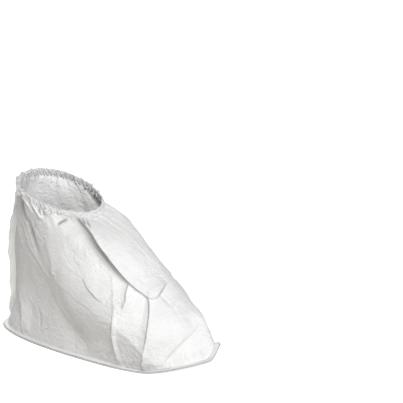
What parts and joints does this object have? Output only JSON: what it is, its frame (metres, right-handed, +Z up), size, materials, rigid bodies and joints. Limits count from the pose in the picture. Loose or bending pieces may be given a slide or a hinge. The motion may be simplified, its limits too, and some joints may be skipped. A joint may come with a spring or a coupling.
{
  "type": "shoe cover",
  "caption": "Loose white nonwoven shoe cover: a sewn sleeve with a gathered elastic ankle hem, a standing heel seam and a flat sole panel, pulled on over a shoe.",
  "frame": {"origin": "middle of the footprint on the floor, under the sole", "axes": "+X points to the toe, +Y to the inner side of the foot, +Z up"},
  "size_m": [0.336, 0.1598, 0.2081],
  "materials": {
    "upper_sheet": "matt white nonwoven sheet",
    "sole_sheet": "matt white nonwoven sheet",
    "seam_edge": "overlocked white edge",
    "cuff_hem": "gathered white hem",
    "heel_edge": "white seam allowance"
  },
  "bodies": {
    "root": {"upper": "upper_sheet", "sole": "sole_sheet", "sole_seam": "seam_edge", "elastic_cuff": "cuff_hem", "heel_seam": "heel_edge"}
  },
  "joints": []
}
